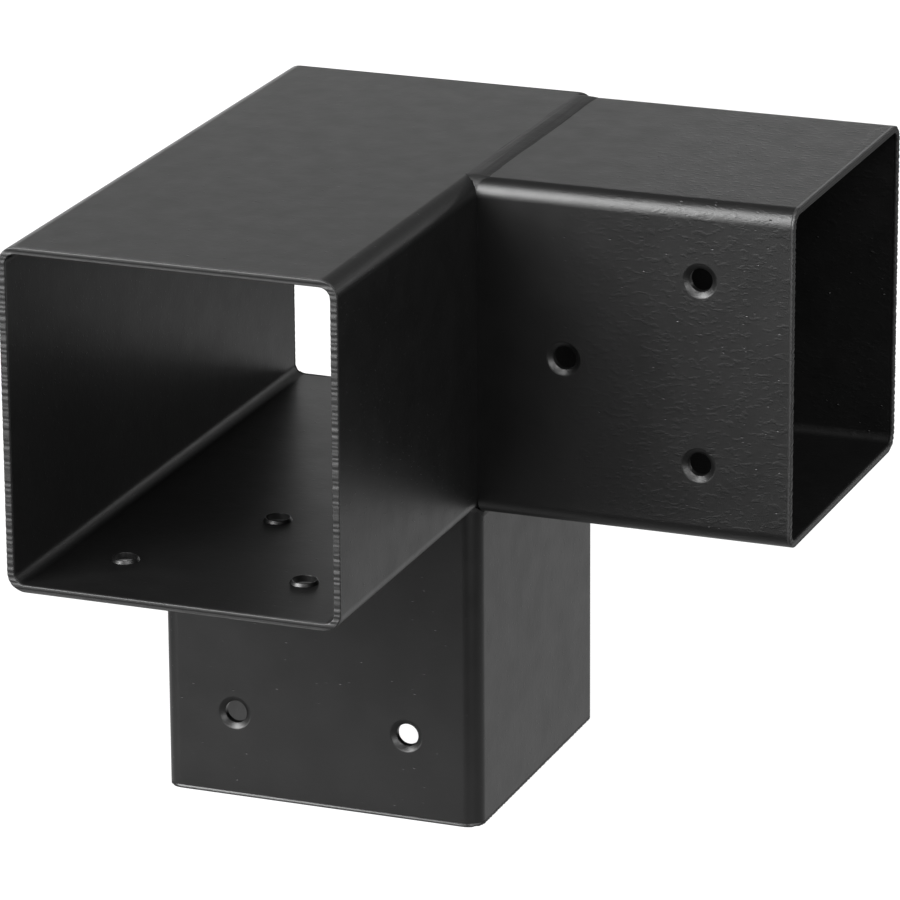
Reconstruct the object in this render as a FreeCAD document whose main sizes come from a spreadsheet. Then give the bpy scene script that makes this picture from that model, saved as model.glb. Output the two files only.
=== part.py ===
import FreeCAD, Part
import math
import os
import Sketcher

# Three way corner connector, welded from square steel tube, in millimetres.
# Three sockets take timber posts and beams that meet at right angles in one corner:
# the through tube runs front to back and is open at both ends, the side arm leaves
# it to the right, and the down leg leaves it downwards. The side arm and the leg are
# cut square, butted against the flats of the through tube and welded all round.
# The origin is the middle of the leg's open mouth, where a post enters. +Z is up
# along the leg, +X follows the side arm, and the through tube's long end faces -Y.

doc = FreeCAD.newDocument("three_way_corner_connector")

# Driving dimensions
SIZES = (
    ("tube_width", 95.5, "square tube, outside width"),
    ("wall", 2.0, "thickness of the tube's wall"),
    ("corner_radius", 5.0, "outside radius of the tube's long edges"),
    ("through_reach", 100.0, "free length of the through tube in front of the corner"),
    ("arm_length", 90.0, "length of the side arm"),
    ("leg_length", 93.0, "length of the down leg"),
    ("hole_bore", 6.5, "screw hole"),
    ("dimple_width", 9.5, "pressed dimple round a screw hole, at the outer face"),
    ("dimple_angle", 110.0, "cone angle of the dimple"),
    ("collar_width", 8.0, "collar that the dimple pushes up on the inside, at its foot"),
    ("collar_height", 0.9, "height of the collar"),
    ("collar_slope", 27.0, "slope of the collar's side from its axis"),
    ("hole_spread", 52.0, "distance between the two outer holes of a socket"),
    ("through_edge", 28.0, "mouth of the through tube to its outer holes"),
    ("through_pitch", 44.0, "outer holes to the inner hole, through tube"),
    ("arm_edge", 26.2, "mouth of the side arm to its outer holes"),
    ("arm_pitch", 38.8, "outer holes to the inner hole, side arm"),
    ("leg_edge", 25.0, "mouth of the leg to its outer holes"),
    ("leg_pitch", 40.0, "outer holes to the inner hole, leg"),
    ("bead_height", 0.4, "weld bead above the faces that it joins"),
    ("bead_on_arm", 2.5, "weld bead along the arm or leg, from its cut end"),
    ("bead_past_corner", 0.5, "weld bead past the rounded edge of the through tube"),
    ("drill_run_out", 1.0, "how far a hole's tool passes the collar's top"),
)


def make_sheet(rows):
    """Write the driving dimensions into a spreadsheet, one named cell each."""
    sheet = doc.addObject("Spreadsheet::Sheet", "Sizes")
    for row, (name, size, meaning) in enumerate(rows, start=1):
        sheet.set(f"A{row}", name)
        sheet.set(f"B{row}", str(size))
        sheet.setAlias(f"B{row}", name)
        sheet.set(f"C{row}", meaning)
    doc.recompute()
    return sheet


sizes = make_sheet(SIZES)

# Sizes that follow from the driving ones, as expressions
HALF_WIDTH = "Sizes.tube_width / 2"
BORE_WIDTH = "Sizes.tube_width - 2 * Sizes.wall"
BORE_RADIUS = "Sizes.corner_radius - Sizes.wall"
THROUGH_LENGTH = "Sizes.through_reach + Sizes.tube_width"
BEAD_ON_TUBE = "Sizes.corner_radius + Sizes.bead_past_corner"
BEAM_HEIGHT = "Sizes.leg_length + Sizes.tube_width / 2"


def bind(thing, links):
    """Tie properties or named constraints of an object to expressions."""
    for name, expression in links.items():
        thing.setExpression(name, expression)


# Sketch helpers


def new_body(name):
    return doc.addObject("PartDesign::Body", name)


def new_sketch(body, name, role, offset=None):
    """A sketch on one of the body's origin planes, moved along the plane's normal."""
    plane = next(item for item in body.Origin.OriginFeatures if item.Role == role)
    sketch = body.newObject("Sketcher::SketchObject", name)
    sketch.AttachmentSupport = [(plane, "")]
    sketch.MapMode = "FlatFace"
    if offset:
        bind(sketch, {"AttachmentOffset.Base.z": offset})
    return sketch


def dimension(sketch, name, expression, *constraint):
    """Add a driving constraint, name it and tie it to an expression."""
    index = sketch.addConstraint(Sketcher.Constraint(*constraint))
    sketch.renameConstraint(index, name)
    bind(sketch, {f"Constraints.{name}": expression})


def rounded_square(sketch, name, width, radius):
    """Draw a square with round corners about the sketch's origin, counterclockwise.

    The first edge is the right-hand side, and it starts at the side's lower end.
    """
    reach = sizes.tube_width / 2
    corner = sizes.corner_radius - sizes.wall
    flat = reach - corner
    first = sketch.GeometryCount
    start = FreeCAD.Vector(reach, -flat, 0)
    end = FreeCAD.Vector(reach, flat, 0)
    centre = FreeCAD.Vector(flat, flat, 0)
    for turn in range(4):
        spin = FreeCAD.Rotation(FreeCAD.Vector(0, 0, 1), 90 * turn)
        side = Part.LineSegment(spin.multVec(start), spin.multVec(end))
        circle = Part.Circle(spin.multVec(centre), FreeCAD.Vector(0, 0, 1), corner)
        angle = math.pi / 2 * turn
        sketch.addGeometry(side)
        sketch.addGeometry(Part.ArcOfCircle(circle, angle, angle + math.pi / 2))
    right, arc, top, left, bottom = first, first + 1, first + 2, first + 4, first + 6
    for step in range(8):
        joined = first + (step + 1) % 8
        sketch.addConstraint(Sketcher.Constraint("Tangent", first + step, 2, joined, 1))
    for side in (right, left):
        sketch.addConstraint(Sketcher.Constraint("Vertical", side))
    for side in (top, bottom):
        sketch.addConstraint(Sketcher.Constraint("Horizontal", side))
    for other in (arc + 2, arc + 4, arc + 6):
        sketch.addConstraint(Sketcher.Constraint("Equal", arc, other))
    sketch.addConstraint(Sketcher.Constraint("Symmetric", arc, 3, arc + 4, 3, -1, 1))
    dimension(sketch, f"{name}_width", width, "DistanceX", left, 1, right, 1, 2 * reach)
    dimension(sketch, f"{name}_height", width, "DistanceY", bottom, 1, top, 1, 2 * reach)
    dimension(sketch, f"{name}_radius", radius, "Radius", arc, corner)


def hole_triangle(sketch, diameter, edge, pitch):
    """Draw the three screw holes of a socket: two near the mouth, one further in."""
    spread = sizes.hole_spread / 2
    radius = sizes.hole_bore / 2
    outer = sizes.leg_edge
    inner = outer + sizes.leg_pitch
    for x, y in ((spread, outer), (-spread, outer), (0, inner)):
        circle = Part.Circle(FreeCAD.Vector(x, y, 0), FreeCAD.Vector(0, 0, 1), radius)
        sketch.addGeometry(circle)
    sketch.addConstraint(Sketcher.Constraint("Equal", 0, 1))
    sketch.addConstraint(Sketcher.Constraint("Equal", 0, 2))
    sketch.addConstraint(Sketcher.Constraint("Symmetric", 0, 3, 1, 3, -2))
    sketch.addConstraint(Sketcher.Constraint("PointOnObject", 2, 3, -2))
    dimension(sketch, "diameter", diameter, "Diameter", 0, 2 * radius)
    dimension(sketch, "spread", "Sizes.hole_spread", "DistanceX", 1, 3, 0, 3, 2 * spread)
    dimension(sketch, "edge", edge, "DistanceY", -1, 1, 0, 3, outer)
    dimension(sketch, "pitch", pitch, "DistanceY", 0, 3, 2, 3, inner - outer)


# Square tubes. Each is drawn with its mouth at z = 0 and runs up to the corner;
# its screw holes are in the wall that faces -Y.


def make_tube(name, length, edge, pitch):
    """A length of square tube with three dimpled screw holes in one wall."""
    body = new_body(name)
    section = new_sketch(body, f"{name}_section", "XY_Plane")
    rounded_square(section, "outside", "Sizes.tube_width", "Sizes.corner_radius")
    rounded_square(section, "inside", BORE_WIDTH, BORE_RADIUS)
    tube = body.newObject("PartDesign::Pad", f"{name}_length")
    tube.Profile = section
    bind(tube, {"Length": length})
    press_collars(body, name, edge, pitch)
    drill_holes(body, name, edge, pitch)
    return body


def press_collars(body, name, edge, pitch):
    """The low rings that the dimples push up on the inside of the wall."""
    inner_face = f"{HALF_WIDTH} - Sizes.wall"
    sketch = new_sketch(body, f"{name}_collar_plan", "XZ_Plane", inner_face)
    hole_triangle(sketch, "Sizes.collar_width", edge, pitch)
    collars = body.newObject("PartDesign::Pad", f"{name}_collars")
    collars.Profile = sketch
    collars.Reversed = True
    bind(collars, {"Length": "Sizes.collar_height", "TaperAngle": "-Sizes.collar_slope"})


def drill_holes(body, name, edge, pitch):
    """The screw holes, with the cone of the dimple at the outer face."""
    sketch = new_sketch(body, f"{name}_hole_plan", "XZ_Plane", HALF_WIDTH)
    hole_triangle(sketch, "Sizes.hole_bore", edge, pitch)
    doc.recompute()
    holes = body.newObject("PartDesign::Hole", f"{name}_holes")
    holes.Profile = sketch
    holes.Threaded = False
    holes.DepthType = "Dimension"
    holes.DrillPoint = "Flat"
    holes.HoleCutType = "Countersink"
    holes.HoleCutCustomValues = True
    depth = "Sizes.wall + Sizes.collar_height + Sizes.drill_run_out"
    bind(holes, {
        "Diameter": "Sizes.hole_bore",
        "Depth": depth,
        "HoleCutDiameter": "Sizes.dimple_width",
        "HoleCutCountersinkAngle": "Sizes.dimple_angle",
    })


def make_bar(name, width, radius, length):
    """A solid bar that fills a tube or its bore, for trimming the weld beads."""
    body = new_body(name)
    section = new_sketch(body, f"{name}_section", "XY_Plane")
    rounded_square(section, "bar", width, radius)
    bar = body.newObject("PartDesign::Pad", f"{name}_length")
    bar.Profile = section
    bind(bar, {"Length": length})
    return body


# Weld beads. A bead follows the outline of the arm's or leg's cut end. It lies over
# that end and over the rounded edge of the through tube, and fills the groove between.


def make_bead_ring(name):
    """A low round bead swept along the outline of a tube's end, at z = 0."""
    body = new_body(name)
    path = new_sketch(body, f"{name}_path", "XY_Plane")
    rounded_square(path, "path", "Sizes.tube_width", "Sizes.corner_radius")
    side_end = f"{HALF_WIDTH} - Sizes.corner_radius"
    profile = new_sketch(body, f"{name}_profile", "XZ_Plane", side_end)
    bead_profile(profile)
    bead = body.newObject("PartDesign::AdditivePipe", f"{name}_bead")
    bead.Profile = profile
    bead.Spine = (path, [f"Edge{number + 1}" for number in range(8)])
    return body


def bead_profile(sketch):
    """A flat root one wall deep, upright sides, and a low arc for the bead's back."""
    face = sizes.tube_width / 2
    root = face - sizes.wall
    low = -sizes.bead_on_arm
    high = sizes.corner_radius + sizes.bead_past_corner
    crown = FreeCAD.Vector(face + sizes.bead_height, (low + high) / 2, 0)
    corners = (
        FreeCAD.Vector(face, low, 0),
        FreeCAD.Vector(root, low, 0),
        FreeCAD.Vector(root, high, 0),
        FreeCAD.Vector(face, high, 0),
    )
    for start, end in zip(corners, corners[1:]):
        sketch.addGeometry(Part.LineSegment(start, end))
    sketch.addGeometry(Part.Arc(corners[0], crown, corners[3]))
    sketch.addGeometry(Part.Point(crown))
    arm_side, root_side, tube_side, back, top = range(5)
    for joint in (
        ("Coincident", arm_side, 2, root_side, 1),
        ("Coincident", root_side, 2, tube_side, 1),
        ("Coincident", back, 1, arm_side, 1),
        ("Coincident", back, 2, tube_side, 2),
        ("Horizontal", arm_side),
        ("Horizontal", tube_side),
        ("Vertical", root_side),
        ("Vertical", arm_side, 1, tube_side, 2),
        ("PointOnObject", top, 1, back),
        ("Horizontal", top, 1, back, 3),
    ):
        sketch.addConstraint(Sketcher.Constraint(*joint))
    depth = face - root
    dimension(sketch, "face", HALF_WIDTH, "DistanceX", -1, 1, arm_side, 1, face)
    dimension(sketch, "root_depth", "Sizes.wall", "DistanceX", arm_side, 2, arm_side, 1, depth)
    dimension(sketch, "on_arm", "Sizes.bead_on_arm", "DistanceY", arm_side, 1, -1, 1, -low)
    dimension(sketch, "on_tube", BEAD_ON_TUBE, "DistanceY", -1, 1, tube_side, 2, high)
    dimension(sketch, "rise", "Sizes.bead_height", "DistanceX", arm_side, 1, top, 1, sizes.bead_height)


# Placing


def place(thing, along, x="0", y="0", z="0"):
    """Turn a piece so that its length runs along an axis, and tie its position."""
    turns = {
        "Z": FreeCAD.Rotation(),
        "-X": FreeCAD.Rotation(FreeCAD.Vector(0, 1, 0), -90),
        "Y": FreeCAD.Rotation(FreeCAD.Vector(0, 1, 1), 180),
    }
    thing.Placement = FreeCAD.Placement(FreeCAD.Vector(), turns[along])
    bind(thing, {
        ".Placement.Base.x": x,
        ".Placement.Base.y": y,
        ".Placement.Base.z": z,
    })


# The three tubes

MOUTH_Y = f"-({HALF_WIDTH} + Sizes.through_reach)"
MOUTH_X = f"{HALF_WIDTH} + Sizes.arm_length"

through_tube = make_tube("through_tube", THROUGH_LENGTH, "Sizes.through_edge", "Sizes.through_pitch")
place(through_tube, "Y", y=MOUTH_Y, z=BEAM_HEIGHT)

side_arm = make_tube("side_arm", "Sizes.arm_length", "Sizes.arm_edge", "Sizes.arm_pitch")
place(side_arm, "-X", x=MOUTH_X, z=BEAM_HEIGHT)

down_leg = make_tube("down_leg", "Sizes.leg_length", "Sizes.leg_edge", "Sizes.leg_pitch")
place(down_leg, "Z")

# What the beads are trimmed with: the room that the tubes and the through tube's
# bore take up. The bore runs on past the back end, so no bead hangs over it.

OUTER = ("Sizes.tube_width", "Sizes.corner_radius")

through_room = make_bar("through_room", *OUTER, THROUGH_LENGTH)
place(through_room, "Y", y=MOUTH_Y, z=BEAM_HEIGHT)

side_room = make_bar("side_room", *OUTER, "Sizes.arm_length")
place(side_room, "-X", x=MOUTH_X, z=BEAM_HEIGHT)

leg_room = make_bar("leg_room", *OUTER, "Sizes.leg_length")
place(leg_room, "Z")

bore_room = make_bar("bore_room", BORE_WIDTH, BORE_RADIUS, f"{THROUGH_LENGTH} + 2 * Sizes.bead_height")
place(bore_room, "Y", y=MOUTH_Y, z=BEAM_HEIGHT)

# The groove under the through tube's rounded edge belongs to the side arm's weld.
groove_room = make_bar("groove_room", *OUTER, "Sizes.arm_length + Sizes.corner_radius")
place(groove_room, "-X", x=MOUTH_X, z=BEAM_HEIGHT)

tube_room = doc.addObject("Part::MultiFuse", "tube_room")
tube_room.Shapes = [through_room, side_room, leg_room, bore_room]

# The two welds. The side arm is welded on first, and the leg's bead meets that one.

side_ring = make_bead_ring("side_ring")
place(side_ring, "-X", x=HALF_WIDTH, z=BEAM_HEIGHT)

leg_ring = make_bead_ring("leg_ring")
place(leg_ring, "Z", z="Sizes.leg_length")


def cut(name, base, tool):
    result = doc.addObject("Part::Cut", name)
    result.Base = base
    result.Tool = tool
    return result


# Under the through tube's rounded edge there is no way in for the side arm's bead.
under_edge_room = doc.addObject("Part::Box", "under_edge_room")
bind(under_edge_room, {
    "Length": HALF_WIDTH,
    "Width": "2 * Sizes.tube_width",
    "Height": "Sizes.corner_radius + 2 * Sizes.bead_height",
})
place(under_edge_room, "Z", y="-Sizes.tube_width", z="Sizes.leg_length - 2 * Sizes.bead_height")

side_arm_weld = cut("side_arm_weld", cut("side_bead", side_ring, tube_room), under_edge_room)
leg_bead = cut("leg_bead", cut("leg_outside", leg_ring, tube_room), groove_room)
leg_weld = cut("leg_weld", leg_bead, side_arm_weld)

doc.recompute()

# Checks, then one STEP file for each piece

PIECES = (through_tube, side_arm, down_leg, side_arm_weld, leg_weld)

for thing in doc.Objects:
    if "Invalid" in thing.State or "Error" in thing.State:
        raise RuntimeError(f"{thing.Label} did not build: {thing.State}")

os.makedirs("parts", exist_ok=True)
for piece in PIECES:
    shape = piece.Shape
    if shape.isNull() or not shape.isValid() or len(shape.Solids) != 1:
        raise RuntimeError(f"{piece.Label} is not one valid solid")
    shape.exportStep(f"parts/{piece.Label}.step")
    box = shape.BoundBox
    low = f"{box.XMin:.2f} {box.YMin:.2f} {box.ZMin:.2f}"
    high = f"{box.XMax:.2f} {box.YMax:.2f} {box.ZMax:.2f}"
    print(f"{piece.Label}: {shape.Volume:.1f} mm3, from {low} to {high}")
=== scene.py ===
# %% [markdown]
# # Three way corner connector, black powder coat
# This lesson dresses a welded steel connector for square timber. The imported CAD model
# gives its shape and place. Blender adds what the eye reads as the real thing: edges
# that the coat has rounded, saw marks on the cut ends, weld beads that sank and
# rippled a little as they cooled, and the fine grain of baked powder.

# %% Load the frame
import math
import bmesh
import bpy
from mathutils import Matrix, Vector


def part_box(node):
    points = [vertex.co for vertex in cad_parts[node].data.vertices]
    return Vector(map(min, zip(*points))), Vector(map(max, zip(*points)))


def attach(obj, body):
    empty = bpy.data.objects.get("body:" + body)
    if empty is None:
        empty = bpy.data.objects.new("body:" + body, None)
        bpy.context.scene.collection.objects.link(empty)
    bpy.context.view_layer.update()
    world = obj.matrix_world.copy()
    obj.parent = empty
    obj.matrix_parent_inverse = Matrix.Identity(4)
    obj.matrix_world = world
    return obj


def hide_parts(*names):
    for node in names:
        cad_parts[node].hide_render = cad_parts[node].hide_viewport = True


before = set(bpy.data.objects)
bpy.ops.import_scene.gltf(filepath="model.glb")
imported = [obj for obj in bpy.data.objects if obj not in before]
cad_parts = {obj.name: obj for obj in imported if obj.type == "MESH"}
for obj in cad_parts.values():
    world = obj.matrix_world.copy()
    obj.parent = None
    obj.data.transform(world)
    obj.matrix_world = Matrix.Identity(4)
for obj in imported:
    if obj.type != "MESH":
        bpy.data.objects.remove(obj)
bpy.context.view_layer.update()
scene = bpy.context.scene
MM = 0.001
print("CAD nodes:", sorted(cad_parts))

# %% [markdown]
# The camera stands where the photographer stood. A pinhole camera was fitted to the
# straight edges of the connector: it is about 1.7 m away, looks 21 degrees to the left
# of straight on and 19 degrees down, and has a long lens, so edges hardly converge.

# %% Camera
YAW, PITCH, ROLL = -0.370208, -0.323945, -0.006012
CAMERA_PLACE = Vector((0.605723, -1.506227, 0.636223))
LENS_MM = 240.8155
SENSOR_MM = 36


def camera_turn(yaw, pitch, roll):
    """The camera's axes as a matrix: right, up and backwards."""
    flat = math.cos(pitch)
    ahead = Vector((math.sin(yaw) * flat, math.cos(yaw) * flat, math.sin(pitch)))
    level = Vector((math.cos(yaw), -math.sin(yaw), 0))
    lift = level.cross(ahead)
    right = level * math.cos(roll) + lift * math.sin(roll)
    up = lift * math.cos(roll) - level * math.sin(roll)
    return Matrix((right, up, -ahead)).transposed()


lens = bpy.data.cameras.new("studio_camera")
lens.sensor_width = SENSOR_MM
lens.lens = LENS_MM
camera = bpy.data.objects.new("studio_camera", lens)
camera.matrix_world = Matrix.Translation(CAMERA_PLACE) @ camera_turn(YAW, PITCH, ROLL).to_4x4()
scene.collection.objects.link(camera)
scene.camera = camera
print("camera at", tuple(round(x, 3) for x in CAMERA_PLACE))

# %% [markdown]
# Colours are written as sRGB hex, as a colour chart gives them. A shader takes linear
# light, so one function turns the hex into linear values. A second one adds a node and
# wires it up in a single line, which keeps the materials short.

# %% Colour and node helpers


def linear(hex_colour):
    """sRGB hex to the linear RGBA that a shader takes."""
    parts = [int(hex_colour[i : i + 2], 16) / 255 for i in (1, 3, 5)]
    return [x / 12.92 if x <= 0.04045 else ((x + 0.055) / 1.055) ** 2.4 for x in parts] + [1.0]


def add_node(tree, kind, links=None, values=None, **settings):
    """Add a node. settings are its own properties, values its inputs' values, and
    links the outputs that feed its inputs; inputs go by name or number."""
    node = tree.nodes.new(kind)
    for name, value in settings.items():
        setattr(node, name, value)
    for name, value in (values or {}).items():
        node.inputs[name].default_value = value
    for name, output in (links or {}).items():
        tree.links.new(output, node.inputs[name])
    return node


def new_material(name):
    material = bpy.data.materials.new(name)
    material.use_nodes = True
    material.node_tree.nodes.clear()
    return material, material.node_tree

# %% [markdown]
# The finish is black powder, sprayed dry on bead-blasted steel and baked until it runs
# together. It never flows quite level, so the skin keeps a fine grain: a low swell
# about 2 mm across, faint streaks along the beam where the steel was rolled, and
# single specks where a grain of powder stayed proud or left a pit. All of it is height,
# so the eye reads it only where light grazes the metal.
#
# Carbon black takes nearly all light in, so the colour is close to zero and what shows
# is gloss alone. The roughness was matched to how softly the floor's edge is mirrored
# in the long tube's side, and the refractive index to how bright that mirror image is.
#
# The coat isn't the same everywhere. Towards the side arm's mouth it went on thickest
# and baked into orange peel, lumps a little over a millimetre across. The welds stay
# rougher under it. On the sawn ends it is thin, so the steel greys it a little.

# %% Powder coat
BLACK = "#020202"
THIN_BLACK = "#0a0a0a"
COAT_INDEX = 1.25
GRAIN_MM = 1.1
SWELL_MM = 2.4
STREAK_STRETCH = 0.5
# Specks: size of a cell, reach of a grain in it, and the shares that are empty or pits.
SPECK_CELL_MM = 1.6
SPECK_REACH = 0.17
SPECK_EMPTY = 0.5
SPECK_PITS = 0.4
# Patches a little duller or glossier than the rest, by noise between these limits.
PATCH_MM = 9.0
PATCH_LIMITS = (0.3, 0.7)
PATCH_SPREAD = 0.02
# Orange peel: where along X it starts and is full, and the noise that makes a lump.
PEEL_MM = 1.3
PEEL_HEIGHT_MM = 0.030
PEEL_LUMPS = (0.50, 0.68)
PEEL_SPECK_MM = 0.5
PEEL_STRETCH = 0.5
PEEL_FROM_MM, PEEL_FULL_MM = 55, 110


def metre_scale(size_mm):
    """How often a pattern of this size in millimetres repeats in one metre."""
    return 1 / (size_mm * MM)


def add_noise(tree, place, size_mm, detail=2.0):
    """Even cloudy height from 0 to 1, with blobs of the given size."""
    values = {"Scale": metre_scale(size_mm), "Detail": detail, "Roughness": 0.55}
    return add_node(tree, "ShaderNodeTexNoise", {"Vector": place}, values).outputs["Fac"]


def add_math(tree, operation, first, second):
    """first and second are numbers or outputs."""
    node = add_node(tree, "ShaderNodeMath", operation=operation)
    for socket, source in zip(node.inputs, (first, second)):
        if isinstance(source, (int, float)):
            socket.default_value = source
        else:
            tree.links.new(source, socket)
    return node.outputs[0]


def add_ramp(tree, value, low, high):
    """0 below low, 1 above high and a smooth rise between; low may be the larger one."""
    limits = {"From Min": low, "From Max": high}
    node = add_node(
        tree, "ShaderNodeMapRange", {"Value": value}, limits, interpolation_type="SMOOTHSTEP"
    )
    return node.outputs["Result"]


def add_stretch(tree, place, share):
    """Draw a pattern out along X, the way the steel was rolled."""
    node = add_node(tree, "ShaderNodeMapping", {"Vector": place}, {"Scale": (share, 1, 1)})
    return node.outputs["Vector"]


def add_specks(tree, place):
    """Height of single grains and pits, at most one of them in a cell."""
    values = {"Scale": metre_scale(SPECK_CELL_MM)}
    cells = add_node(tree, "ShaderNodeTexVoronoi", {"Vector": place}, values)
    dome = add_ramp(tree, cells.outputs["Distance"], SPECK_REACH, 0.0)
    chance = add_node(tree, "ShaderNodeSeparateColor", {"Color": cells.outputs["Color"]})
    size = add_math(tree, "SUBTRACT", chance.outputs["Red"], SPECK_EMPTY)
    size = add_math(tree, "MAXIMUM", size, 0.0)
    sign = add_math(tree, "GREATER_THAN", chance.outputs["Green"], SPECK_PITS)
    sign = add_math(tree, "SUBTRACT", sign, SPECK_PITS)
    return add_math(tree, "MULTIPLY", dome, add_math(tree, "MULTIPLY", size, sign))


def add_bump(tree, height, depth_mm, below=None):
    """Turn a height into a tilt of the surface, on top of an earlier bump."""
    links = {"Height": height}
    if below:
        links["Normal"] = below
    values = {"Distance": depth_mm * MM, "Strength": 1.0}
    return add_node(tree, "ShaderNodeBump", links, values).outputs["Normal"]


def add_peel(tree, place, specks, below):
    """Orange peel and specks that grow from nothing to full along the arm."""
    along = add_node(tree, "ShaderNodeSeparateXYZ", {"Vector": place}).outputs["X"]
    share = add_ramp(tree, along, PEEL_FROM_MM * MM, PEEL_FULL_MM * MM)
    drawn = add_stretch(tree, place, PEEL_STRETCH)
    lumps = add_ramp(tree, add_noise(tree, drawn, PEEL_MM, detail=3.0), *PEEL_LUMPS)
    peel = add_bump(tree, add_math(tree, "MULTIPLY", lumps, share), PEEL_HEIGHT_MM, below)
    return add_bump(tree, add_math(tree, "MULTIPLY", specks, share), PEEL_SPECK_MM, peel)


def powder_coat(name, roughness, swell_mm, grain_mm, speck_mm, colour=BLACK, peeled=False):
    """Baked black powder. Swell, grain and specks are given by their heights."""
    material, tree = new_material(name)
    place = add_node(tree, "ShaderNodeTexCoord").outputs["Object"]
    drawn = add_stretch(tree, place, STREAK_STRETCH)
    swell = add_bump(tree, add_noise(tree, place, SWELL_MM), swell_mm)
    grain = add_bump(tree, add_noise(tree, drawn, GRAIN_MM), grain_mm, swell)
    specks = add_specks(tree, drawn)
    skin = add_bump(tree, specks, speck_mm, grain)
    if peeled:
        skin = add_peel(tree, place, specks, skin)
    low, high = PATCH_LIMITS
    patches = add_node(
        tree, "ShaderNodeMapRange", {"Value": add_noise(tree, place, PATCH_MM)},
        {
            "From Min": low, "From Max": high,
            "To Min": roughness - PATCH_SPREAD, "To Max": roughness + PATCH_SPREAD,
        },
    )
    shader = add_node(
        tree, "ShaderNodeBsdfPrincipled",
        {"Normal": skin, "Roughness": patches.outputs["Result"]},
        {"Base Color": linear(colour), "IOR": COAT_INDEX},
    )
    add_node(tree, "ShaderNodeOutputMaterial", {"Surface": shader.outputs["BSDF"]})
    return material


# The rolled faces of the long tube and the leg: an even coat with a few clear specks.
coat_on_tube = powder_coat("powder_coat_on_rolled_steel", 0.40, 0.02, 0.015, 0.45)
# The side arm: the same coat, with orange peel that grows towards its mouth.
coat_on_arm = powder_coat("powder_coat_with_orange_peel", 0.40, 0.02, 0.015, 0.15, peeled=True)
# The weld beads: duller, and three times as uneven.
coat_on_weld = powder_coat("powder_coat_on_weld", 0.57, 0.06, 0.04, 0.20)
# The sawn ends: thin, a little greyer, and grainy from the saw.
coat_on_cut = powder_coat("powder_coat_on_sawn_end", 0.50, 0.03, 0.05, 0.20, colour=THIN_BLACK)
print("finishes:", [m.name for m in (coat_on_tube, coat_on_arm, coat_on_weld, coat_on_cut)])

# %% [markdown]
# Geometry Nodes builds what follows a path or a surface. A group takes named sizes, and
# the piece is kept as a plain mesh when the group has run, so that nothing in the
# finished model depends on the nodes.

# %% Geometry node helpers


def new_group(name, sizes):
    """A geometry node group with a geometry input and the named inputs."""
    group = bpy.data.node_groups.new(name, "GeometryNodeTree")
    group.interface.new_socket("Geometry", in_out="INPUT", socket_type="NodeSocketGeometry")
    for label, kind in sizes.items():
        group.interface.new_socket(label, in_out="INPUT", socket_type=f"NodeSocket{kind}")
    group.interface.new_socket("Geometry", in_out="OUTPUT", socket_type="NodeSocketGeometry")
    return group, group.nodes.new("NodeGroupInput").outputs


def finish_group(group, mesh, material):
    """Every group ends the same way: real geometry with its material."""
    real = add_node(group, "GeometryNodeRealizeInstances", {"Geometry": mesh}).outputs[0]
    links = {"Geometry": real, "Material": material}
    painted = add_node(group, "GeometryNodeSetMaterial", links)
    add_node(group, "NodeGroupOutput", {"Geometry": painted.outputs[0]})


def point_faces_outwards(mesh):
    edit = bmesh.new()
    edit.from_mesh(mesh)
    bmesh.ops.recalc_face_normals(edit, faces=edit.faces)
    edit.to_mesh(mesh)
    edit.free()


def build_piece(name, mesh, group, values, turn=Matrix()):
    """Run a group on a mesh and keep what comes out as a plain mesh object."""
    piece = bpy.data.objects.new(name, mesh)
    scene.collection.objects.link(piece)
    modifier = piece.modifiers.new(group.name, "NODES")
    modifier.node_group = group
    for item in group.interface.items_tree:
        if item.name in values and item.in_out == "INPUT":
            modifier[item.identifier] = values[item.name]
    bpy.context.view_layer.update()
    seen = piece.evaluated_get(bpy.context.evaluated_depsgraph_get())
    result = bpy.data.meshes.new_from_object(seen)
    piece.modifiers.remove(modifier)
    piece.data = result
    result.transform(turn)
    point_faces_outwards(result)
    print(name, len(result.polygons), "faces")
    return piece


def outline_mesh(name, points):
    """A closed outline as a mesh of edges, in the XY plane."""
    mesh = bpy.data.meshes.new(name)
    count = len(points)
    sides = [(i, (i + 1) % count) for i in range(count)]
    mesh.from_pydata([(x, y, 0) for x, y in points], sides, [])
    return mesh

# %% [markdown]
# The tubes are cold-formed square section with a punched and dimpled hole pattern. The
# CAD model has their bends, but the edges of its holes are knife sharp. A coat a tenth
# of a millimetre thick can't stay on such an edge: it draws back and leaves a small
# round. So each tube gets a merged copy whose hole edges are rounded, the dimple's rim
# widely, because the punch drags the steel in, and the others narrowly. The last
# millimetre at each mouth is cut off, because the sawn end is a piece of its own.

# %% Coated tubes
MOUTH_MM = 1.0
# A dimple's rim and the sharper edges are told apart by how far the surface turns there.
RIM_DEGREES = (30, 40)
RIM_ROUND_MM, RIM_SEGMENTS = 0.8, 4
SHARP_DEGREES = (41, 180)
EDGE_ROUND_MM, EDGE_SEGMENTS = 0.10, 2
SMOOTH_BELOW_DEGREES = 40
FLAT_DEGREES = 0.5
JOIN_MM = 0.001
ON_PLANE_MM = 0.01


class Mouth:
    """One sawn end of a tube: which way it opens and which way the saw marks run."""

    def __init__(self, node, outward, marks):
        low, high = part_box(node)
        self.outward, marks = Vector(outward), Vector(marks)
        size = high - low
        reach = abs(self.outward.dot(size)) / 2
        self.seam = (low + high) / 2 + self.outward * (reach - MOUTH_MM * MM)
        turn = Matrix((marks, self.outward.cross(marks), self.outward)).transposed()
        self.place = Matrix.Translation(self.seam) @ turn.to_4x4()


def angle_of(edge):
    return math.degrees(edge.calc_face_angle()) if len(edge.link_faces) == 2 else 0


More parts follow.
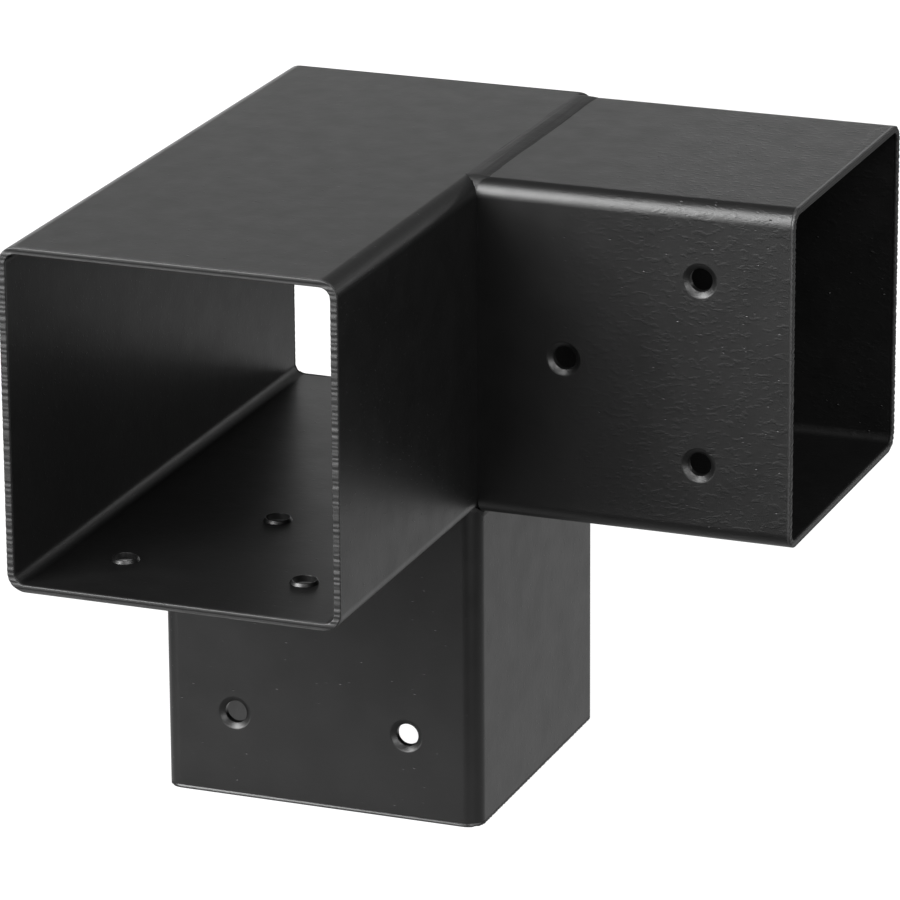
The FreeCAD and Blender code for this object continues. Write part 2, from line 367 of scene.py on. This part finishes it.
def cut_off(edit, mouth):
    """Take the last millimetre off and close the wall again."""
    everything = edit.verts[:] + edit.edges[:] + edit.faces[:]
    bmesh.ops.bisect_plane(
        edit, geom=everything, plane_co=mouth.seam, plane_no=mouth.outward, clear_outer=True
    )
    rims = [edge for edge in edit.edges if len(edge.link_faces) == 1]
    bmesh.ops.bridge_loops(edit, edges=rims)


def on_an_end(edge, planes):
    """Whether both ends of an edge lie in one of the planes that close the tube."""
    return any(
        all(abs((corner.co - point).dot(normal)) < ON_PLANE_MM * MM for corner in edge.verts)
        for point, normal in planes
    )


def round_edges(edit, planes, degrees, width_mm, segments):
    low, high = degrees
    edges = [e for e in edit.edges if low < angle_of(e) < high and not on_an_end(e, planes)]
    bmesh.ops.bevel(
        edit, geom=edges, offset=width_mm * MM, segments=segments, profile=0.5,
        affect="EDGES", clamp_overlap=True,
    )


COATS = {"through_tube": coat_on_tube, "side_arm": coat_on_arm, "down_leg": coat_on_tube}


def coated_tube(node, mouths):
    """A merged copy of a tube with rounded edges and open seams at its mouths."""
    low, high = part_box(node)
    mesh = bpy.data.meshes.new(f"{node}_coated")
    edit = bmesh.new()
    edit.from_mesh(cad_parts[node].data)
    bmesh.ops.remove_doubles(edit, verts=edit.verts, dist=JOIN_MM * MM)
    flat = math.radians(FLAT_DEGREES)
    bmesh.ops.dissolve_limit(edit, angle_limit=flat, verts=edit.verts, edges=edit.edges)
    for mouth in mouths:
        cut_off(edit, mouth)
    planes = [(mouth.seam, mouth.outward) for mouth in mouths]
    planes += [(corner, mouths[0].outward) for corner in (low, high)]
    round_edges(edit, planes, RIM_DEGREES, RIM_ROUND_MM, RIM_SEGMENTS)
    round_edges(edit, planes, SHARP_DEGREES, EDGE_ROUND_MM, EDGE_SEGMENTS)
    bmesh.ops.recalc_face_normals(edit, faces=edit.faces)
    for face in edit.faces:
        face.smooth = True
    edit.to_mesh(mesh)
    edit.free()
    mesh.set_sharp_from_angle(angle=math.radians(SMOOTH_BELOW_DEGREES))
    piece = bpy.data.objects.new(f"{node}_coated", mesh)
    scene.collection.objects.link(piece)
    piece.modifiers.new("flat faces stay flat", "WEIGHTED_NORMAL").keep_sharp = True
    seen = piece.evaluated_get(bpy.context.evaluated_depsgraph_get())
    piece.data = bpy.data.meshes.new_from_object(seen)
    piece.modifiers.clear()
    piece.data.materials.append(COATS[node])
    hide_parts(node)
    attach(piece, "root")
    print(piece.name, len(piece.data.polygons), "faces")
    return piece


MOUTHS = {
    "through_tube": [
        Mouth("through_tube", (0, -1, 0), (1, 0, 0)),
        Mouth("through_tube", (0, 1, 0), (-1, 0, 0)),
    ],
    "side_arm": [Mouth("side_arm", (1, 0, 0), (0, 1, 0))],
    "down_leg": [Mouth("down_leg", (0, 0, -1), (1, 0, 0))],
}
for node, mouths in MOUTHS.items():
    coated_tube(node, mouths)

# %% [markdown]
# The mouths were cut on a band saw. The blade leaves furrows straight across all four
# walls, about 2 mm apart and a sixth of a millimetre deep once the coat has partly
# filled them. On the upright walls they show as a ladder of bright ticks, on the level
# walls as lines along the edge. The end is a section swept round the tube's outline,
# and the furrows sink its face. The leg stands on its end, so its edges are kept sharp
# and the coat is the tube's own, or a pale line would run along the floor.

# %% Sawn ends
WALL_MM = 2.0
CORNER_RADIUS_MM = 5.0
SAW_PITCH_MM = 2.1
SAW_DEPTH_MM = 0.16
# A furrow is where the noise passes these limits; a furrow and a ridge take two cells.
FURROW_LIMITS = (0.42, 0.62)
CELLS_PER_PITCH = 2.0
# Only what lies in the outer part of the last millimetre is sunk.
FACE_FROM = 0.6
FIRST_SEED = 3.7
SAWN_ROUND_MM = {"through_tube": 0.25, "side_arm": 0.25, "down_leg": 0.04}
SAWN_COATS = {"through_tube": coat_on_cut, "side_arm": coat_on_cut, "down_leg": coat_on_tube}
END_STEP_MM = 0.35
ROUND_POINTS = 3
WALL_POINTS = 4
CORNER_POINTS = 9


def end_section(wall, radius):
    """Half of the wall's last millimetre, mirrored: x across the wall, -y outwards."""
    half, top = wall / 2, MOUTH_MM * MM
    right = [(half, 0.0)]
    for step in range(ROUND_POINTS + 1):
        angle = math.pi / 2 * step / ROUND_POINTS
        right.append((half - radius * (1 - math.cos(angle)), radius * (1 - math.sin(angle)) - top))
    inner = half - radius
    right += [(inner * (1 - step / WALL_POINTS), -top) for step in range(1, WALL_POINTS)]
    left = [(-x, y) for x, y in reversed(right)]
    return right + [(0.0, -top)] + left


def sawn_end_group():
    """Sweep a section round the outline of a square tube and sink its saw marks."""
    group, given = new_group("sawn_end", {
        "Outline": "Float", "Corner radius": "Float", "Step": "Float", "Length": "Float",
        "Mark pitch": "Float", "Mark depth": "Float", "Seed": "Float", "Material": "Material",
    })
    square = add_node(
        group, "GeometryNodeCurvePrimitiveQuadrilateral",
        {"Width": given["Outline"], "Height": given["Outline"]},
    )
    rounded = add_node(
        group, "GeometryNodeFilletCurve",
        {"Curve": square.outputs[0], "Radius": given["Corner radius"]},
        {"Count": CORNER_POINTS}, mode="POLY",
    )
    path = add_node(
        group, "GeometryNodeResampleCurve",
        {"Curve": rounded.outputs[0], "Length": given["Step"]}, mode="LENGTH",
    )
    level = add_node(group, "GeometryNodeSetCurveNormal", {"Curve": path.outputs[0]}, mode="Z_UP")
    section = add_node(group, "GeometryNodeMeshToCurve", {"Mesh": given["Geometry"]})
    ring = add_node(
        group, "GeometryNodeCurveToMesh", {"Curve": level.outputs[0], "Profile Curve": section.outputs[0]}
    )
    place = add_node(group, "GeometryNodeInputPosition").outputs[0]
    axes = add_node(group, "ShaderNodeSeparateXYZ", {"Vector": place}).outputs
    rows = add_math(group, "ADD", add_math(group, "DIVIDE", axes["Y"], given["Mark pitch"]), given["Seed"])
    marks = add_node(
        group, "ShaderNodeTexNoise", {"W": rows},
        {"Scale": CELLS_PER_PITCH, "Detail": 1.0, "Roughness": 0.6}, noise_dimensions="1D",
    ).outputs[0]
    sunk = add_ramp(group, marks, *FURROW_LIMITS)
    face_starts = add_math(group, "MULTIPLY", given["Length"], FACE_FROM)
    face = add_math(group, "GREATER_THAN", axes["Z"], face_starts)
    depth = add_math(group, "MULTIPLY", add_math(group, "MULTIPLY", sunk, face), given["Mark depth"])
    offset = add_node(group, "ShaderNodeCombineXYZ", {"Z": add_math(group, "MULTIPLY", depth, -1.0)})
    marked = add_node(
        group, "GeometryNodeSetPosition", {"Geometry": ring.outputs[0], "Offset": offset.outputs[0]}
    )
    smooth = add_node(group, "GeometryNodeSetShadeSmooth", {"Geometry": marked.outputs[0]})
    finish_group(group, smooth.outputs[0], given["Material"])
    return group


def sawn_end(name, mouth, group, seed, outline, radius, coat):
    """The last millimetre of a tube; its path runs along the middle of the wall."""
    wall = WALL_MM * MM
    values = {
        "Outline": outline - wall, "Corner radius": CORNER_RADIUS_MM * MM - wall / 2,
        "Step": END_STEP_MM * MM, "Length": MOUTH_MM * MM, "Mark pitch": SAW_PITCH_MM * MM,
        "Mark depth": SAW_DEPTH_MM * MM, "Seed": seed, "Material": coat,
    }
    section = outline_mesh(f"{name}_section", end_section(wall, radius))
    piece = build_piece(name, section, group, values, mouth.place)
    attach(piece, "root")
    return piece


low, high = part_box("down_leg")
tube_width = high.x - low.x
sawn = sawn_end_group()
for node, mouths in MOUTHS.items():
    radius = SAWN_ROUND_MM[node] * MM
    for number, mouth in enumerate(mouths):
        name = f"{node}_sawn_end_{number + 1}"
        seed = FIRST_SEED + number
        sawn_end(name, mouth, sawn, seed, tube_width, radius, SAWN_COATS[node])

# %% [markdown]
# Both welds are laid by hand in one pass. The bead that the CAD model gives is a clean
# low arc. A real one sinks unevenly as it freezes, so its toes wander by a millimetre
# and its back carries ripples. The copy is divided finely, relaxed so that its trimmed
# corners flow together, and each part of it sinks towards the middle of the tube by
# noise. On the front, where the photograph shows no bead, it is ground nearly flush.

# %% Weld beads
DIVISIONS = 2
RELAXING = 4
RIPPLE_MM = 3.5
RIPPLE_HEIGHT_MM = 0.4
# The height of noise at which the bead keeps its CAD surface; all below it sinks.
NO_DIP = 0.76
# How much the grinder took off, and where along Y it started and took off all of that.
GROUND_MM = 0.30
GROUND_FROM_MM, GROUND_FULL_MM = -43.0, -46.5
# 1 for each axis that lies in the plane of the weld's ring.
RINGS = {"side_arm_weld": (0, 1, 1), "leg_weld": (1, 1, 0)}


def add_vector_math(tree, operation, links):
    return add_node(tree, "ShaderNodeVectorMath", links, operation=operation).outputs[0]


def settled_bead_group():
    """Divide, relax and ripple a bead."""
    group, given = new_group("settled_bead", {
        "Divisions": "Int", "Relaxing": "Int", "Ripple size": "Float", "Ripple height": "Float",
        "No dip": "Float", "Ground off": "Float", "Ground from": "Float", "Ground full": "Float",
        "Middle": "Vector", "Across": "Vector", "Material": "Material",
    })
    fine = add_node(
        group, "GeometryNodeSubdivideMesh", {"Mesh": given["Geometry"], "Level": given["Divisions"]}
    )
    place = add_node(group, "GeometryNodeInputPosition").outputs[0]
    relaxed = add_node(
        group, "GeometryNodeBlurAttribute",
        {"Value": place, "Iterations": given["Relaxing"]}, data_type="FLOAT_VECTOR",
    )
    soft = add_node(
        group, "GeometryNodeSetPosition", {"Geometry": fine.outputs[0], "Position": relaxed.outputs[0]}
    )
    often = add_math(group, "DIVIDE", 1.0, given["Ripple size"])
    ripple = add_node(
        group, "ShaderNodeTexNoise",
        {"Vector": place, "Scale": often}, {"Detail": 2.0, "Roughness": 0.5},
    ).outputs[0]
    dip = add_math(group, "SUBTRACT", ripple, given["No dip"])
    forward = add_node(group, "ShaderNodeSeparateXYZ", {"Vector": place}).outputs["Y"]
    front = add_node(
        group, "ShaderNodeMapRange",
        {"Value": forward, "From Min": given["Ground from"], "From Max": given["Ground full"]},
    ).outputs[0]
    ground = add_math(group, "MULTIPLY", front, given["Ground off"])
    height = add_math(group, "SUBTRACT", add_math(group, "MULTIPLY", dip, given["Ripple height"]), ground)
    away = add_vector_math(group, "SUBTRACT", {0: place, 1: given["Middle"]})
    across = add_vector_math(group, "MULTIPLY", {0: away, 1: given["Across"]})
    outwards = add_vector_math(group, "NORMALIZE", {0: across})
    push = add_vector_math(group, "SCALE", {0: outwards, "Scale": height})
    rippled = add_node(
        group, "GeometryNodeSetPosition", {"Geometry": soft.outputs[0], "Offset": push}
    )
    smooth = add_node(group, "GeometryNodeSetShadeSmooth", {"Geometry": rippled.outputs[0]})
    finish_group(group, smooth.outputs[0], given["Material"])
    return group


def merged_copy(node):
    mesh = bpy.data.meshes.new(f"{node}_merged")
    edit = bmesh.new()
    edit.from_mesh(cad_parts[node].data)
    bmesh.ops.remove_doubles(edit, verts=edit.verts, dist=JOIN_MM * MM)
    edit.to_mesh(mesh)
    edit.free()
    return mesh


settled = settled_bead_group()
for node, across in RINGS.items():
    low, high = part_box(node)
    values = {
        "Divisions": DIVISIONS, "Relaxing": RELAXING, "Ripple size": RIPPLE_MM * MM,
        "Ripple height": RIPPLE_HEIGHT_MM * MM, "No dip": NO_DIP, "Ground off": GROUND_MM * MM,
        "Ground from": GROUND_FROM_MM * MM, "Ground full": GROUND_FULL_MM * MM,
        "Middle": (low + high) / 2, "Across": across, "Material": coat_on_weld,
    }
    bead = build_piece(f"{node}_bead", merged_copy(node), settled, values)
    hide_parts(node)
    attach(bead, "root")

# %% [markdown]
# The studio is a white sheet on a table, lit from inside like a light table, so that it
# is pure white behind the part and throws no shadow. Its own colour is nearly black, so
# the lamps add nothing to its glow. It also mirrors in every face that looks down or
# back. It is only a little wider than the picture: the faces that look further to the
# front or to either side are dark in the photograph.

# %% Floor
SHEET_CORNERS = (
    (-0.10, -0.17),
    (0.26, -0.04),
    (0.26, 0.34),
    (0.08, 0.34),
    (-0.2, 1.3),
    (-0.8, 1.3),
)
floor_mesh = bpy.data.meshes.new("white_sheet")
floor_mesh.from_pydata([(x, y, 0) for x, y in SHEET_CORNERS], [], [range(len(SHEET_CORNERS))])
floor = bpy.data.objects.new("white_sheet", floor_mesh)
scene.collection.objects.link(floor)
sheet_material, tree = new_material("lit_white_sheet")
shader = add_node(
    tree, "ShaderNodeBsdfPrincipled", None,
    {
        "Base Color": linear("#080808"), "Roughness": 0.9,
        "Emission Color": linear("#ffffff"), "Emission Strength": 1.0,
    },
)
add_node(tree, "ShaderNodeOutputMaterial", {"Surface": shader.outputs["BSDF"]})
floor_mesh.materials.append(sheet_material)

# %% [markdown]
# Black gloss shows its lights and little else. Three key boxes, one above the other to
# the left of the camera, draw the bright line along the arm's front edge, and with a
# tall dim box beside the camera they give the upright front faces their grey. Two boxes
# on the right, one low and one over the shoulder, draw the crescents in the dimples. A
# third at the side adds a faint sheen to the faces that look right, which take most of
# their light from the sheet. A low dim wall behind gives the level faces their even
# grey, and the room itself is dim.

# %% Lights
ROOM_LIGHT = 0.33
LIGHT_DISTANCE = 3.0
MIDDLE = Vector((0.05, -0.05, 0.1))
# Name, heading and climb in degrees, width and height in metres, and brightness.
LIGHTS = (
    ("key_low", 219, 5, 1.5, 1.2, 18),
    ("key_middle", 219, 28, 1.5, 1.4, 73),
    ("key_high", 219, 50, 1.5, 1.2, 36),
    ("beside_camera", 194, 28, 1.2, 3.9, 9.5),
    ("dimple_low", 139, 12, 1.0, 0.8, 44),
    ("dimple_high", 130, 51, 1.6, 1.5, 28),
    ("right_side", 95, 25, 1.8, 1.0, 18),
    ("back_wall", 347, 6, 7.0, 0.5, 2.8),
)


def softbox(name, heading, climb, width, height, radiance):
    """A flat light facing the part; heading turns from +Y towards +X, in degrees."""
    light = bpy.data.lights.new(name, "AREA")
    light.shape = "RECTANGLE"
    light.size, light.size_y = width, height
    light.energy = radiance * math.pi * width * height
    box = bpy.data.objects.new(name, light)
    turn, rise = math.radians(heading), math.radians(climb)
    away = Vector((math.cos(rise) * math.sin(turn), math.cos(rise) * math.cos(turn), math.sin(rise)))
    facing = (-away).to_track_quat("-Z", "Y").to_matrix().to_4x4()
    box.matrix_world = Matrix.Translation(MIDDLE + away * LIGHT_DISTANCE) @ facing
    scene.collection.objects.link(box)


for settings in LIGHTS:
    softbox(*settings)
world = bpy.data.worlds.new("dark_studio")
world.use_nodes = True
world.node_tree.nodes["Background"].inputs["Color"].default_value = (1, 1, 1, 1)
world.node_tree.nodes["Background"].inputs["Strength"].default_value = ROOM_LIGHT
scene.world = world
scene.view_settings.view_transform = "Standard"
print("lights:", [row[0] for row in LIGHTS])
